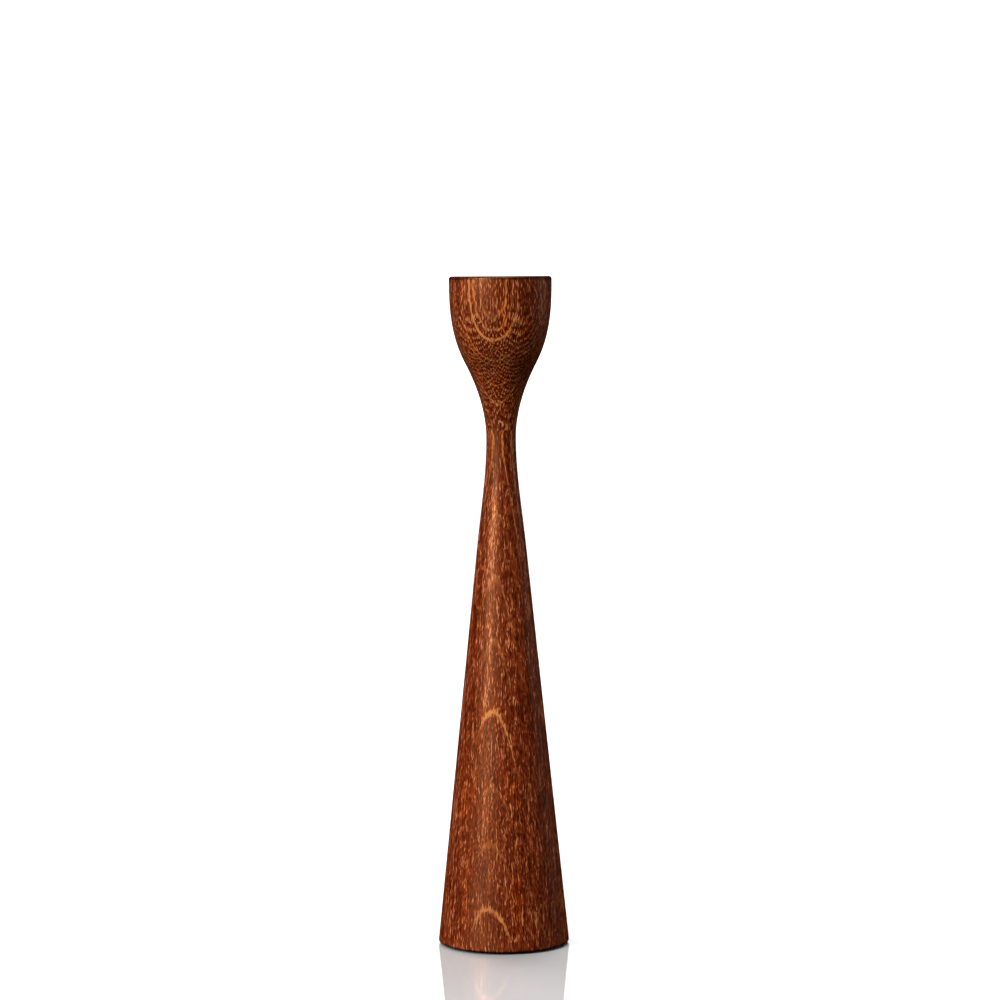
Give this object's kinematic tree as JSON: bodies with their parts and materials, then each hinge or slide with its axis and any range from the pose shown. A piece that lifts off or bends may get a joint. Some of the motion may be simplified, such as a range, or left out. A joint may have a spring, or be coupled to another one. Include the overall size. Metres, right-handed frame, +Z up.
{
  "type": "candlestick",
  "caption": "Slender turned oak candlestick with a flared cup and a lift-out brass insert that takes a dinner candle or a tealight.",
  "frame": {"origin": "middle of the foot's underside, on the table", "axes": "+Z up along the turned axis; the part is round, so +X and +Y are free"},
  "size_m": [0.0626, 0.0626, 0.32],
  "materials": {
    "stained_oak": "turned oak, stained dark red-brown, satin oil",
    "brass": "pressed sheet, satin",
    "steel": "turned steel, zinc plated",
    "beech": "bare beech, fluted",
    "felt": "pressed wool felt, dark brown"
  },
  "bodies": {
    "candlestick": {"stem": "stained_oak", "cup": "stained_oak", "neck_dowel": "beech", "ballast_disc": "steel", "ballast_screw": "steel", "base_felt": "felt"},
    "candle_insert": {"tealight_tray": "brass", "taper_socket": "brass"}
  },
  "joints": [
    {"name": "insert_lift", "type": "slide", "parent": "candlestick", "child": "candle_insert", "axis": [0, 0, 1], "range_m": [0, 0.05]}
  ]
}
